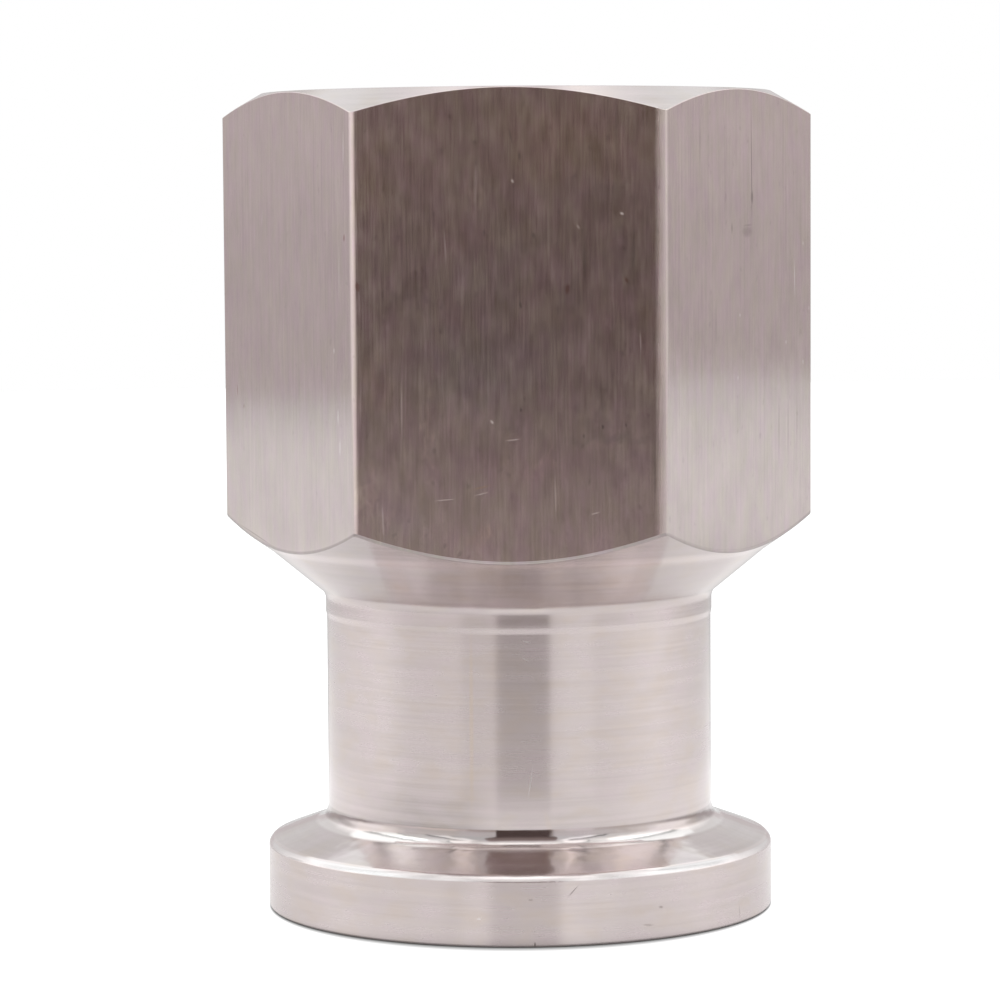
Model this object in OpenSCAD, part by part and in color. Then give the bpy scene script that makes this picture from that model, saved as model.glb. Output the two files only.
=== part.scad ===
// Sanitary clamp adapter: one piece turned from hexagon bar. A small clamp ferrule
// at the foot, a plain neck, a coned shoulder and a hexagon head with a female
// pipe thread. All sizes in millimetres. The Z axis is the axis of the fitting,
// and z = 0 is the ferrule's gasket face.

/* [Ferrule] */
// Outside diameter of the clamp flange
flange_d = 25.2; // [24.8:0.05:25.6]
// Height of the flange's rim where the back cone would meet it
rim_h = 3.385; // [3.0:0.005:3.8]
// Angle of the flange's back cone above the gasket face, in degrees
back_angle = 20; // [18:0.5:22]
// Rounding of the rim's upper edge
rim_round = 0.4; // [0.1:0.05:0.6]
// Rounding of the rim's lower edge
foot_round = 0.15; // [0.05:0.05:0.3]
// Fillet between the back cone and the neck
heel_fillet = 1.0; // [0.5:0.1:1.8]
// Mean diameter of the gasket groove
groove_d = 20.32; // [20:0.02:20.6]
// Radius of the groove's round section
groove_r = 1.2; // [0.8:0.05:1.4]
// Depth of the gasket groove
groove_depth = 0.8; // [0.4:0.05:1.0]

/* [Neck] */
// Diameter of the neck
neck_d = 19.2; // [19.0:0.05:19.6]
// Height at which the turning band above the neck begins
band_z = 14.5; // [13.5:0.05:14.8]
// Height over which the surface climbs on to the band
band_run = 0.37; // [0.2:0.01:0.5]
// Diameter of the band under the shoulder
band_d = 19.3; // [19.25:0.01:19.7]
// Fillet between the band and the shoulder
shoulder_fillet = 0.6; // [0.3:0.05:0.7]

/* [Shoulder] */
// Angle of the shoulder cone above the horizontal, in degrees
shoulder_angle = 39.5; // [35:0.5:45]
// Diameter at which the shoulder gives way to the chamfer behind the head
shoulder_d = 24.6; // [24:0.1:25]
// Height of that change
shoulder_z = 17.9; // [17.5:0.05:18.5]

/* [Head] */
// Hexagon head across its flats
across_flats = 25.4; // [25.3:0.05:26]
// Rounding of the hexagon bar's long corners
corner_round = 0.4; // [0.2:0.05:0.8]
// Overall length of the fitting
overall_h = 40.5; // [38:0.05:44]
// Diameter of the flat end inside the end chamfer
end_face_d = 25.2; // [24:0.1:25.3]
// Angle of the end chamfer below the end face, in degrees
end_chamfer = 30; // [20:1:40]
// Angle of the chamfer behind the head above the horizontal, in degrees
back_chamfer = 35; // [30:1:40]

/* [Inside] */
// Diameter of the tapped hole at the crests of its thread
thread_minor_d = 18.631; // [18.4:0.001:18.8]
// Depth of the tapped hole's straight wall from the end face
thread_depth = 16.5; // [13:0.5:19]
// Diameter of the chamfer at the mouth of the tapped hole
mouth_d = 21.4; // [20.8:0.1:22]
// Angle of the drilled seat under the thread, measured from the axis, in degrees
seat_angle = 59; // [45:1:60]
// Diameter of the bore through the neck and the ferrule
bore_d = 15.75; // [15:0.05:16.2]
// Edge break at the bore's lower end
bore_break = 0.15; // [0.05:0.05:0.25]

/* [Hidden] */
$fn = 128;

apothem = across_flats / 2;
blank_r = apothem / cos(30) + 0.6;
shoulder_r = shoulder_d / 2;
end_r = end_face_d / 2;
hair = 0.0002;

// Height of the back cone where it runs out on the neck
heel_z = rim_h + (flange_d - neck_d) / 2 * tan(back_angle);
// Height where the shoulder cone would meet the band
throat_z = shoulder_z - (shoulder_r - band_d / 2) * tan(shoulder_angle);

// Turned outline from the axis at the foot to the axis at the end: [radius, height, rounding]
outline = [
    [0, 0, 0],
    [flange_d / 2, 0, foot_round],
    [flange_d / 2, rim_h, rim_round],
    [neck_d / 2, heel_z, heel_fillet],
    [neck_d / 2, band_z, 0],
    [band_d / 2, band_z + band_run, 0],
    [band_d / 2, throat_z, shoulder_fillet],
    [shoulder_r, shoulder_z, 0],
    [blank_r, shoulder_z + (blank_r - shoulder_r) * tan(back_chamfer), 0],
    [blank_r, overall_h - (blank_r - end_r) * tan(end_chamfer), 0],
    [end_r, overall_h, 0],
    [0, overall_h, 0]
];

function xy(p) = [p[0], p[1]];
function unit(v) = v / norm(v);
function turn(a, b) = a[0] * b[1] - a[1] * b[0];
function before(p, i) = xy(p[(i + len(p) - 1) % len(p)]);
function after(p, i) = xy(p[(i + 1) % len(p)]);
function arrive(p, i) = unit(xy(p[i]) - before(p, i));
function leave(p, i) = unit(after(p, i) - xy(p[i]));
// Length that a rounding takes from each side of its corner
function reach(p, i) =
    let (a = arrive(p, i), b = leave(p, i), t = acos(a * b)) p[i][2] * tan(t / 2);
// Centre of the arc that rounds a corner
function arc_centre(p, i) =
    let (a = arrive(p, i), side = sign(turn(a, leave(p, i))))
    xy(p[i]) - a * reach(p, i) + [-a[1], a[0]] * side * p[i][2];
function outside_corner(p, i) = turn(arrive(p, i), leave(p, i)) > 0;

// A closed outline, run anticlockwise, whose marked corners are true arcs. Each arc is a
// hair over its radius, so that it crosses the lines beside it and leaves no sliver.
module rounded_outline(p) {
    chords = [
        for (i = [0 : len(p) - 1])
            each p[i][2] > 0
                ? [xy(p[i]) - arrive(p, i) * reach(p, i), xy(p[i]) + leave(p, i) * reach(p, i)]
                : [xy(p[i])]
    ];
    difference() {
        union() {
            polygon(chords);
            for (i = [0 : len(p) - 1])
                if (p[i][2] > 0 && outside_corner(p, i))
                    translate(arc_centre(p, i)) circle(r = p[i][2] + hair);
        }
        for (i = [0 : len(p) - 1])
            if (p[i][2] > 0 && !outside_corner(p, i))
                translate(arc_centre(p, i)) circle(r = p[i][2] + hair);
    }
}

// Everything the lathe makes outside, with a head left round and too large
module turned_blank() {
    rotate_extrude() rounded_outline(outline);
}

// The hexagon bar with its slightly rounded long corners, one flat facing -Y
module hexagon_section() {
    rounded_outline([
        for (k = [0 : 5])
            [apothem / cos(30) * cos(60 * k), apothem / cos(30) * sin(60 * k), corner_round]
    ]);
}

// The bar where the head keeps it, and plain room around the turned length
module bar_stock() {
    translate([0, 0, shoulder_z - 0.9]) linear_extrude(height = overall_h - shoulder_z + 3)
        hexagon_section();
    translate([0, 0, -1]) cylinder(r = flange_d / 2 + 0.8, h = shoulder_z + 1.05);
}

// Tapped hole at its crest diameter, drilled seat, bore and edge breaks
module passage() {
    minor_r = thread_minor_d / 2;
    bore_r = bore_d / 2;
    mouth_r = mouth_d / 2;
    floor_z = overall_h - thread_depth;
    rotate_extrude() polygon([
        [0, -1],
        [bore_r + bore_break + 1, -1],
        [bore_r, bore_break],
        [bore_r, floor_z - (minor_r - bore_r) / tan(seat_angle)],
        [minor_r, floor_z],
        [minor_r, overall_h - (mouth_r - minor_r)],
        [mouth_r + 1, overall_h + 1],
        [0, overall_h + 1]
    ]);
}

// Round-bottomed gasket groove in the ferrule's face
module gasket_groove() {
    rotate_extrude() translate([groove_d / 2, groove_depth - groove_r]) circle(r = groove_r);
}

module adapter_body() {
    color([0.72, 0.68, 0.67])
    difference() {
        intersection() {
            turned_blank();
            bar_stock();
        }
        passage();
        gasket_groove();
    }
}

adapter_body();
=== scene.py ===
import math

import bpy
import numpy as np
from mathutils import Matrix, Vector


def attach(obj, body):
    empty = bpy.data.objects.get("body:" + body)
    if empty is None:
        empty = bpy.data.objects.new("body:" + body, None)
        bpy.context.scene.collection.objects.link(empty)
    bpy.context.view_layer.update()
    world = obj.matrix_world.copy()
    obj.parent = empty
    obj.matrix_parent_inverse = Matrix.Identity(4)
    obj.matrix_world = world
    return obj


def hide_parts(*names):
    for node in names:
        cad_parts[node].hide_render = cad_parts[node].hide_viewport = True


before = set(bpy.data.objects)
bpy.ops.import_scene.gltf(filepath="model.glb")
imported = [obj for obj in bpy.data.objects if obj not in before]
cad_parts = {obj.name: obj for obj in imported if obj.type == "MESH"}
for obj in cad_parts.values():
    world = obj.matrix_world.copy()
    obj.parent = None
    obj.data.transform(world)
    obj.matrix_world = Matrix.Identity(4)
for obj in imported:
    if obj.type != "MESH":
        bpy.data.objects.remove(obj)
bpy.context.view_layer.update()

MM = 0.001

# ---------------------------------------------------------------------------
# Sizes of the fitting, in millimetres, as in its construction
# ---------------------------------------------------------------------------
FLANGE_R, RIM_H, BACK_ANGLE, RIM_ROUND, FOOT_ROUND, HEEL_R = 12.6, 3.385, 20.0, 0.4, 0.15, 1.0
GROOVE_R0, GROOVE_R, GROOVE_DEPTH = 10.16, 1.2, 0.8
NECK_R, BAND_Z, BAND_RUN, BAND_R, THROAT_R = 9.6, 14.5, 0.37, 9.65, 0.6
SHOULDER_ANGLE, SHOULDER_R, SHOULDER_Z = 39.5, 12.3, 17.9
APOTHEM, CORNER_R, LENGTH, END_R = 12.7, 0.4, 40.5, 12.6
END_CHAMFER, BACK_CHAMFER = 30.0, 35.0
MINOR_R, MAJOR_R, PITCH, THREAD_DEPTH, MOUTH_R, SEAT_ANGLE = 9.3155, 10.4775, 1.814, 16.5, 10.7, 59.0
BORE_R, BORE_BREAK = 7.875, 0.15


def d2r(a):
    return math.radians(a)


# ---------------------------------------------------------------------------
# Columns: one set of directions round the axis, close together on the six
# rounded corners, so that every ring of the mesh shares them
# ---------------------------------------------------------------------------
FLAT_STEPS, ARC_STEPS = 36, 6


def columns():
    """theta, radius of the rounded hexagon there, and its normal's direction."""
    theta, radius, normal = [], [], []
    centre = (APOTHEM - CORNER_R) / math.cos(math.pi / 6)
    for k in range(6):
        corner = math.pi / 3 * k
        for i in range(ARC_STEPS + 1):
            psi = d2r(-30 + 60 * i / ARC_STEPS)
            x = centre + CORNER_R * math.cos(psi)
            y = CORNER_R * math.sin(psi)
            theta.append(corner + math.atan2(y, x))
            radius.append(math.hypot(x, y))
            normal.append(corner + psi)
        a = theta[-1]
        b = math.pi / 3 * (k + 1) - (a - corner)
        mid = corner + math.pi / 6
        for i in range(1, FLAT_STEPS):
            t = a + (b - a) * i / FLAT_STEPS
            theta.append(t)
            radius.append(APOTHEM / math.cos(t - mid))
            normal.append(mid)
    return np.array(theta), np.array(radius), np.array(normal)


THETA, R_HEX, A_HEX = columns()
N = len(THETA)
TH = np.append(THETA, THETA[0] + 2 * math.pi)
RH = np.append(R_HEX, R_HEX[0])
AH = np.append(A_HEX, A_HEX[0] + 2 * math.pi)
C, S = np.cos(TH), np.sin(TH)

# ---------------------------------------------------------------------------
# Patches: grids of points with their own normals, slot and map strip
# ---------------------------------------------------------------------------
TURNED, RIM, DRAWN, FRONT, LEFT, RIGHT, FACED, BORED = range(8)
patches = []


def ring(r, z, nr, nz):
    """A turned ring: r and z may be numbers or one value a column."""
    r = np.broadcast_to(np.asarray(r, float), (N + 1,))
    z = np.broadcast_to(np.asarray(z, float), (N + 1,))
    nr = np.broadcast_to(np.asarray(nr, float), (N + 1,))
    nz = np.broadcast_to(np.asarray(nz, float), (N + 1,))
    return np.stack([r * C, r * S, z], -1), np.stack([nr * C, nr * S, nz], -1)


def hex_ring(r, z, inward=0.0, tilt=None):
    """A ring on the hexagon's wall, with the wall's normal, or one turned towards tilt = (nr, nz, share)."""
    r = np.broadcast_to(np.asarray(r, float), (N + 1,))
    z = np.broadcast_to(np.asarray(z, float), (N + 1,))
    n = np.stack([np.cos(AH), np.sin(AH), np.zeros(N + 1)], -1)
    if tilt is not None:
        nr, nz, share = tilt
        cone = np.stack([nr * C, nr * S, np.full(N + 1, nz)], -1)
        n = n * (1 - share) + cone * share
        n /= np.linalg.norm(n, axis=1, keepdims=True)
    return np.stack([r * C, r * S, z], -1), n


def patch(rings, slot, strip):
    pos = np.array([p for p, _ in rings])
    nrm = np.array([n for _, n in rings])
    patches.append({"pos": pos, "nrm": nrm, "slot": slot, "strip": strip})


def arc(cr, cz, radius, a0, a1, steps, side=1):
    """Rings of an arc in the section, normals pointing away from its centre (side 1) or to it (-1)."""
    out = []
    for i in range(steps + 1):
        a = d2r(a0 + (a1 - a0) * i / steps)
        out.append(
            ring(
                cr + radius * math.cos(a),
                cz + radius * math.sin(a),
                side * math.cos(a),
                side * math.sin(a),
            )
        )
    return out


def line(r0, z0, r1, z1, steps, skip=0):
    """Rings of a straight stretch of the section, going up the outside, so its normal is to the right of its way."""
    n = np.array([z1 - z0, -(r1 - r0)])
    n = n / np.linalg.norm(n)
    return [
        ring(r0 + (r1 - r0) * i / steps, z0 + (z1 - z0) * i / steps, n[0], n[1])
        for i in range(skip, steps + 1)
    ]


tan, sin, cos = (lambda f: lambda a: f(d2r(a)))(math.tan), (lambda f: lambda a: f(d2r(a)))(math.sin), (lambda f: lambda a: f(d2r(a)))(math.cos)

# Flange
heel_z = RIM_H + (FLANGE_R - NECK_R) * tan(BACK_ANGLE)
throat_z = SHOULDER_Z - (SHOULDER_R - BAND_R) * tan(SHOULDER_ANGLE)
rim_reach = RIM_ROUND * tan((90 - BACK_ANGLE) / 2)
heel_reach = HEEL_R * tan((90 - BACK_ANGLE) / 2)
throat_reach = THROAT_R * tan((90 - SHOULDER_ANGLE) / 2)

outer = []
outer += arc(FLANGE_R - FOOT_ROUND, FOOT_ROUND, FOOT_ROUND, -90, 0, 5)
outer += line(FLANGE_R, FOOT_ROUND, FLANGE_R, RIM_H - rim_reach, 8, 1)
# The rim's edge is broken almost flat in its middle, so its normals turn mostly at its ends
for i, lean in enumerate((0, 34, 40, 43, 45, 47, 49, 51, 54, 60, 70)):
    if i == 0:
        continue
    a, lean = d2r((90 - BACK_ANGLE) * i / 10), d2r(lean)
    outer.append(
        ring(
            FLANGE_R - RIM_ROUND + RIM_ROUND * math.cos(a),
            RIM_H - rim_reach + RIM_ROUND * math.sin(a),
            math.cos(lean),
            math.sin(lean),
        )
    )
cone_a = (FLANGE_R - rim_reach * cos(BACK_ANGLE), RIM_H + rim_reach * sin(BACK_ANGLE))
cone_b = (NECK_R + heel_reach * cos(BACK_ANGLE), heel_z - heel_reach * sin(BACK_ANGLE))
outer += line(*cone_a, *cone_b, 8, 1)
outer += arc(NECK_R + HEEL_R, heel_z + heel_reach, HEEL_R, 270 - BACK_ANGLE, 180, 12, -1)[1:]
outer += line(NECK_R, heel_z + heel_reach, NECK_R, BAND_Z, 12, 1)
# The climb on to the band, as an S
for i in range(1, 9):
    t = i / 8
    r = NECK_R + (BAND_R - NECK_R) * t * t * (3 - 2 * t)
    slope = (BAND_R - NECK_R) * 6 * t * (1 - t) / BAND_RUN
    n = 1 / math.hypot(1, slope)
    outer.append(ring(r, BAND_Z + BAND_RUN * t, n, -slope * n))
for i in range(1, 5):
    z = BAND_Z + BAND_RUN + (throat_z - throat_reach - BAND_Z - BAND_RUN) * i / 4
    lean = d2r((2.0, 3.2, 3.2, 1.5)[i - 1])
    outer.append(ring(BAND_R, z, math.cos(lean), math.sin(lean)))
outer += arc(BAND_R + THROAT_R, throat_z - throat_reach, THROAT_R, 180, 90 + SHOULDER_ANGLE, 8, -1)[1:]
shoulder_a = (BAND_R + throat_reach * cos(SHOULDER_ANGLE), throat_z + throat_reach * sin(SHOULDER_ANGLE))
# A soft change from the shoulder's slope to the chamfer behind the head
blend = 0.12
shoulder_b = (SHOULDER_R - blend * cos(SHOULDER_ANGLE), SHOULDER_Z - blend * sin(SHOULDER_ANGLE))
outer += line(*shoulder_a, *shoulder_b, 8, 1)
NB = (sin(BACK_CHAMFER), -cos(BACK_CHAMFER))
NS = (sin(SHOULDER_ANGLE), -cos(SHOULDER_ANGLE))
mid = ((NB[0] + NS[0]) / 2, (NB[1] + NS[1]) / 2)
outer.append(ring(SHOULDER_R - 0.006, SHOULDER_Z + 0.006, *mid))
outer.append(ring(SHOULDER_R + blend * cos(BACK_CHAMFER), SHOULDER_Z + blend * sin(BACK_CHAMFER), *NB))

# Chamfer behind the head, out to the hexagon
BREAK, BACK_BREAK, BACK_RISE = 0.035, 0.03, 0.15
slope_b, slope_e = tan(BACK_CHAMFER), tan(END_CHAMFER)
z_back = SHOULDER_Z + (RH - SHOULDER_R) * slope_b
z_end = LENGTH - (RH - END_R) * slope_e


def on_back(r):
    return SHOULDER_Z + (r - SHOULDER_R) * slope_b


def on_end(r):
    return LENGTH - (r - END_R) * slope_e


inner_r = SHOULDER_R + blend * cos(BACK_CHAMFER)
edge_r = RH - BACK_BREAK * cos(BACK_CHAMFER)
for i in range(1, 5):
    r = inner_r + (edge_r - inner_r) * i / 4
    outer.append(ring(r, on_back(r), *NB))
patch(outer, TURNED, "body")


def edge_rings(p0, p1, p2, tilt, first_is_cone):
    """Three rings round a small edge break, between a cone at p0 and the wall at p2, or the other way."""
    out = []
    for t in (0.0, 0.25, 0.5, 0.75, 1.0):
        r = (1 - t) ** 2 * p0[0] + 2 * t * (1 - t) * p1[0] + t * t * p2[0]
        z = (1 - t) ** 2 * p0[1] + 2 * t * (1 - t) * p1[1] + t * t * p2[1]
        share = 1 - t if first_is_cone else t
        out.append(hex_ring(r, z, tilt=(*tilt, share)))
    return out


patch(
    edge_rings((edge_r, on_back(edge_r)), (RH, z_back), (RH, z_back + BACK_RISE), NB, True),
    DRAWN,
    "flats",
)
# The six flats and their rounded corners
walls = []
low, high = z_back + BACK_RISE, z_end - BREAK
for i in range(17):
    walls.append(hex_ring(RH, low + (high - low) * i / 16))
patch(walls, DRAWN, "flats")
NE = (sin(END_CHAMFER), cos(END_CHAMFER))
end_edge_r = RH - BREAK * cos(END_CHAMFER)
patch(
    edge_rings((RH, z_end - BREAK), (RH, z_end), (end_edge_r, on_end(end_edge_r)), NE, False),
    DRAWN,
    "flats",
)
# End chamfer, its small inner edge and the end face
chamfer = []
inner_edge = 0.04
for i in range(5):
    r0 = END_R + inner_edge * cos(END_CHAMFER)
    r = end_edge_r + (r0 - end_edge_r) * i / 4
    chamfer.append(ring(r, on_end(r), *NE))
for t in (0.33, 0.67, 1.0):
    r = (1 - t) ** 2 * (END_R + inner_edge * cos(END_CHAMFER)) + 2 * t * (1 - t) * END_R + t * t * (END_R - inner_edge)
    z = (1 - t) ** 2 * (LENGTH - inner_edge * sin(END_CHAMFER)) + 2 * t * (1 - t) * LENGTH + t * t * LENGTH
    a = d2r(END_CHAMFER * (1 - t))
    chamfer.append(ring(r, z, math.sin(a), math.cos(a)))
patch(chamfer, TURNED, "end")
mouth_edge = 0.05
face = []
for i in range(7):
    r = END_R - inner_edge + (MOUTH_R + mouth_edge - END_R + inner_edge) * i / 6
    face.append(ring(r, LENGTH, 0, 1))
patch(face, FACED, "end")
mouth = []
for t in (0.0, 0.33, 0.67, 1.0):
    r = (1 - t) ** 2 * (MOUTH_R + mouth_edge) + 2 * t * (1 - t) * MOUTH_R + t * t * (MOUTH_R - mouth_edge * cos(45))
    z = (1 - t) ** 2 * LENGTH + 2 * t * (1 - t) * LENGTH + t * t * (LENGTH - mouth_edge * sin(45))
    a = d2r(45 * t)
    mouth.append(ring(r, z, -math.sin(a), math.cos(a)))
patch(mouth, FACED, "end")

# ---------------------------------------------------------------------------
# Thread: a 55 degree parallel pipe thread, round at its roots
# ---------------------------------------------------------------------------
ROOT_R = 0.137329 * PITCH
FLANK = d2r(27.5)
KNEE = math.pi / 2 - FLANK
CREST_HALF, CREST_ROUND = 0.115, 0.05


def section():
    """(axial place, radius) points of half a pitch, from the root's middle to the crest's."""
    pts = []
    for i in range(5):
        t = KNEE * i / 4
        pts.append((ROOT_R * math.sin(t), MAJOR_R - ROOT_R + ROOT_R * math.cos(t)))
    z0, r0 = pts[-1]
    z_crest = z0 + (r0 - MINOR_R) * math.tan(FLANK)
    for s in (0.33, 0.67):
        pts.append((z0 + (z_crest - z0) * s, r0 + (MINOR_R - r0) * s))
    cut = 0.06
    before = (z_crest - cut * math.sin(FLANK), MINOR_R + cut * math.cos(FLANK))
    after = (z_crest + cut, MINOR_R)
    for t in (0.0, 0.5, 1.0):
        pts.append(
            tuple(
                (1 - t) ** 2 * b + 2 * t * (1 - t) * c + t * t * a
                for b, c, a in zip(before, (z_crest, MINOR_R), after)
            )
        )
    pts.append((PITCH / 2, MINOR_R))
    return pts


half = section()
full_z = [z for z, _ in half] + [PITCH - z for z, _ in reversed(half[1:-1])]
full_r = [r for _, r in half] + [r for _, r in reversed(half[1:-1])]
M = len(full_z)
prof_z = np.array(full_z + [PITCH])
prof_r = np.array(full_r + [full_r[0]])
FLOOR_Z = LENGTH - THREAD_DEPTH
RUNOUT0, RUNOUT1 = FLOOR_Z + 0.25 * PITCH, FLOOR_Z + 2.4 * PITCH


def depth_share(z):
    t = np.clip((z - RUNOUT0) / (RUNOUT1 - RUNOUT0), 0, 1)
    return t * t * (3 - 2 * t)


def thread_r(theta, z):
    u = np.mod(z - PITCH * theta / (2 * math.pi), PITCH)
    return MINOR_R + (np.interp(u, prof_z, prof_r) - MINOR_R) * depth_share(z)


def hole_normal(fr, theta, z):
    """Normals of a hole's wall of radius fr(theta, z), pointing to the axis."""
    e = 1e-3
    r = fr(theta, z)
    rz = (fr(theta, z + e) - fr(theta, z - e)) / (2 * e)
    rt = (fr(theta + e, z) - fr(theta - e, z)) / (2 * e)
    er = np.stack([np.cos(theta), np.sin(theta), 0 * z], -1)
    et = np.stack([-np.sin(theta), np.cos(theta), 0 * z], -1)
    ez = np.stack([0 * z, 0 * z, 1 + 0 * z], -1)
    n = -(er - (rt / r)[..., None] * et - rz[..., None] * ez)
    return n / np.linalg.norm(n, axis=-1, keepdims=True)


def chamfer_r(z):
    return MOUTH_R - (LENGTH - z)


Z_LIP = LENGTH - (MOUTH_R - MINOR_R)
Z_MOUTH = LENGTH - mouth_edge * sin(45)
# Mouth: the chamfer where it is wider than the thread, with rows moved on to each place where they cross
ROWS = 34
zz = np.linspace(Z_MOUTH, Z_LIP, ROWS + 1)
mouth_z = np.repeat(zz[:, None], N + 1, 1)
fine = np.linspace(Z_MOUTH, Z_LIP, 1201)
for j in range(N + 1):
    g = thread_r(np.full_like(fine, TH[j]), fine) - chamfer_r(fine)
    for k in np.nonzero(np.sign(g[:-1]) * np.sign(g[1:]) < 0)[0]:
        at = fine[k] + (fine[k + 1] - fine[k]) * g[k] / (g[k] - g[k + 1])
        row = int(round((Z_MOUTH - at) / (Z_MOUTH - Z_LIP) * ROWS))
        mouth_z[min(max(row, 1), ROWS - 1), j] = at
mouth_t = np.repeat(TH[None, :], ROWS + 1, 0)
in_thread = thread_r(mouth_t, mouth_z)
in_chamfer = chamfer_r(mouth_z)
mouth_r = np.maximum(in_thread, in_chamfer)
mouth_pos = np.stack([mouth_r * np.cos(mouth_t), mouth_r * np.sin(mouth_t), mouth_z], -1)
k45 = math.sqrt(0.5)
chamfer_n = np.stack([-k45 * np.cos(mouth_t), -k45 * np.sin(mouth_t), np.full_like(mouth_t, k45)], -1)
thread_n = hole_normal(thread_r, mouth_t, mouth_z)
centre_t = (mouth_t[:-1, :-1] + mouth_t[1:, 1:]) / 2
centre_z = (mouth_z[:-1, :-1] + mouth_z[1:, :-1] + mouth_z[:-1, 1:] + mouth_z[1:, 1:]) / 4
is_thread = thread_r(centre_t, centre_z) > chamfer_r(centre_z)
patches.append(
    {"pos": mouth_pos, "nrm": chamfer_n, "slot": BORED, "strip": "thread", "other": thread_n, "which": is_thread}
)
# The thread itself: rows that follow the helix, cut off level at both ends
turns = int(math.ceil((Z_LIP - FLOOR_Z) / PITCH)) + 2
ks = np.arange(turns * M + 1)
offset = np.array([(k // M) * PITCH + (0 if k % M == 0 else PITCH - full_z[M - k % M]) for k in ks])
top_of = PITCH * (math.ceil(Z_LIP / PITCH) + 1)
raw = top_of - offset[:, None] + PITCH * (TH[None, :] - TH[0]) / (2 * math.pi) - PITCH
raw = raw + PITCH * TH[0] / (2 * math.pi)
# raw is the height of a row at a column; the phase of a row is then the same all along it
helix_z = np.clip(raw, FLOOR_Z, Z_LIP)
helix_t = np.repeat(TH[None, :], len(ks), 0)
helix_r = thread_r(helix_t, helix_z)
patches.append(
    {
        "pos": np.stack([helix_r * np.cos(helix_t), helix_r * np.sin(helix_t), helix_z], -1),
        "nrm": hole_normal(thread_r, helix_t, helix_z),
        "slot": BORED,
        "strip": "thread",
    }
)
# Drilled seat, bore, edge break
seat_z = FLOOR_Z - (MINOR_R - BORE_R) / tan(SEAT_ANGLE)
inside = line(MINOR_R, FLOOR_Z, BORE_R, seat_z, 3)
patch(inside, BORED, "bore")
patch(line(BORE_R, seat_z, BORE_R, BORE_BREAK, 16), BORED, "bore")
patch(line(BORE_R, BORE_BREAK, BORE_R + BORE_BREAK, 0, 1), BORED, "bore")
# Ferrule face with its gasket groove
groove_c = GROOVE_DEPTH - GROOVE_R
half_w = math.sqrt(GROOVE_R**2 - groove_c**2)
patch(line(BORE_R + BORE_BREAK, 0, GROOVE_R0 - half_w, 0, 3), FACED, "face")
a0 = math.degrees(math.atan2(-groove_c, -half_w))
a1 = math.degrees(math.atan2(-groove_c, half_w))
patch(arc(GROOVE_R0, groove_c, GROOVE_R, a0, a1, 16, -1), FACED, "face")
patch(line(GROOVE_R0 + half_w, 0, FLANGE_R - FOOT_ROUND, 0, 3), FACED, "face")

# ---------------------------------------------------------------------------
# One closed mesh from the patches
# ---------------------------------------------------------------------------
STRIPS = {  # lowest and highest place of each strip on the map
    "flats": (0.005, 0.275),
    "body": (0.285, 0.585),
    "end": (0.595, 0.655),
    "face": (0.665, 0.725),
    "thread": (0.735, 0.875),
    "bore": (0.885, 0.995),
}


def strip_lengths():
    """How far along its strip each ring of each patch lies, so that one strip's patches follow each other."""
    at = dict.fromkeys(STRIPS, 0.0)
    for p in patches:
        if p["strip"] == "thread":
            continue
        step = np.linalg.norm(np.diff(p["pos"], axis=0), axis=2).mean(1)
        p["along"] = at[p["strip"]] + np.append(0, np.cumsum(step))
        at[p["strip"]] = p["along"][-1] + 0.02
    return at


ends = strip_lengths()
points, faces, corner_n, corner_uv, corner_run, slots = {}, [], [], [], [], []
coords = []
around = (TH - TH[0]) / (2 * math.pi)
walk = np.append(0, np.cumsum(np.hypot(np.diff(RH * C), np.diff(RH * S))))
PERIMETER = walk[-1]
walk /= PERIMETER


# Place across the nearest flat, and which of the flats face the front
ACROSS = RH * np.sin(np.mod(TH, math.pi / 3) - math.pi / 6)
SEEN = {3: LEFT, 4: FRONT, 5: RIGHT}


def vertex(p):
    key = (round(p[0] * 1e5), round(p[1] * 1e5), round(p[2] * 1e5))
    if key not in points:
        points[key] = len(coords)
        coords.append(tuple(p))
    return points[key]


for p in patches:
    pos, nrm = p["pos"], p["nrm"]
    rows, cols = pos.shape[:2]
    ids = np.empty((rows, cols), int)
    for i in range(rows):
        for j in range(cols):
            ids[i, j] = vertex(pos[i, j])
    v0, v1 = STRIPS[p["strip"]]
    u = walk if p["strip"] == "flats" else around
    along = p.get("along", np.zeros(rows))
    if p["strip"] == "thread":
        height = (Z_MOUTH - pos[:, :, 2]) / (Z_MOUTH - FLOOR_Z)
        vv = v0 + (v1 - v0) * height
    else:
        vv = np.repeat((v0 + (v1 - v0) * p["along"] / ends[p["strip"]])[:, None], cols, 1)
    for i in range(rows - 1):
        for j in range(cols - 1):
            quad = [(i, j), (i, j + 1), (i + 1, j + 1), (i + 1, j)]
            use = nrm
            if "which" in p and p["which"][i, j]:
                use = p["other"]
            kept = []
            for c in quad:
                if not kept or ids[c] != ids[kept[-1]]:
                    kept.append(c)
            if len(kept) > 1 and ids[kept[0]] == ids[kept[-1]]:
                kept.pop()
            if len(kept) < 3 or len({ids[c] for c in kept}) < 3:
                continue
            faces.append([int(ids[c]) for c in kept])
            corner_n += [use[c] for c in kept]
            corner_uv += [(0.004 + 0.992 * u[c[1]], vv[c]) for c in kept]
            corner_run += [(walk[c[1]] * PERIMETER, along[c[0]], ACROSS[c[1]]) for c in kept]
            slot = p["slot"]
            if slot == DRAWN:
                slot = SEEN.get(int(math.floor((TH[j] + TH[j + 1]) / 2 / (math.pi / 3))), DRAWN)
            elif slot == TURNED and pos[i : i + 2, j, 2].mean() < RIM_H - 0.3:
                slot = RIM
            slots.append(slot)

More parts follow.
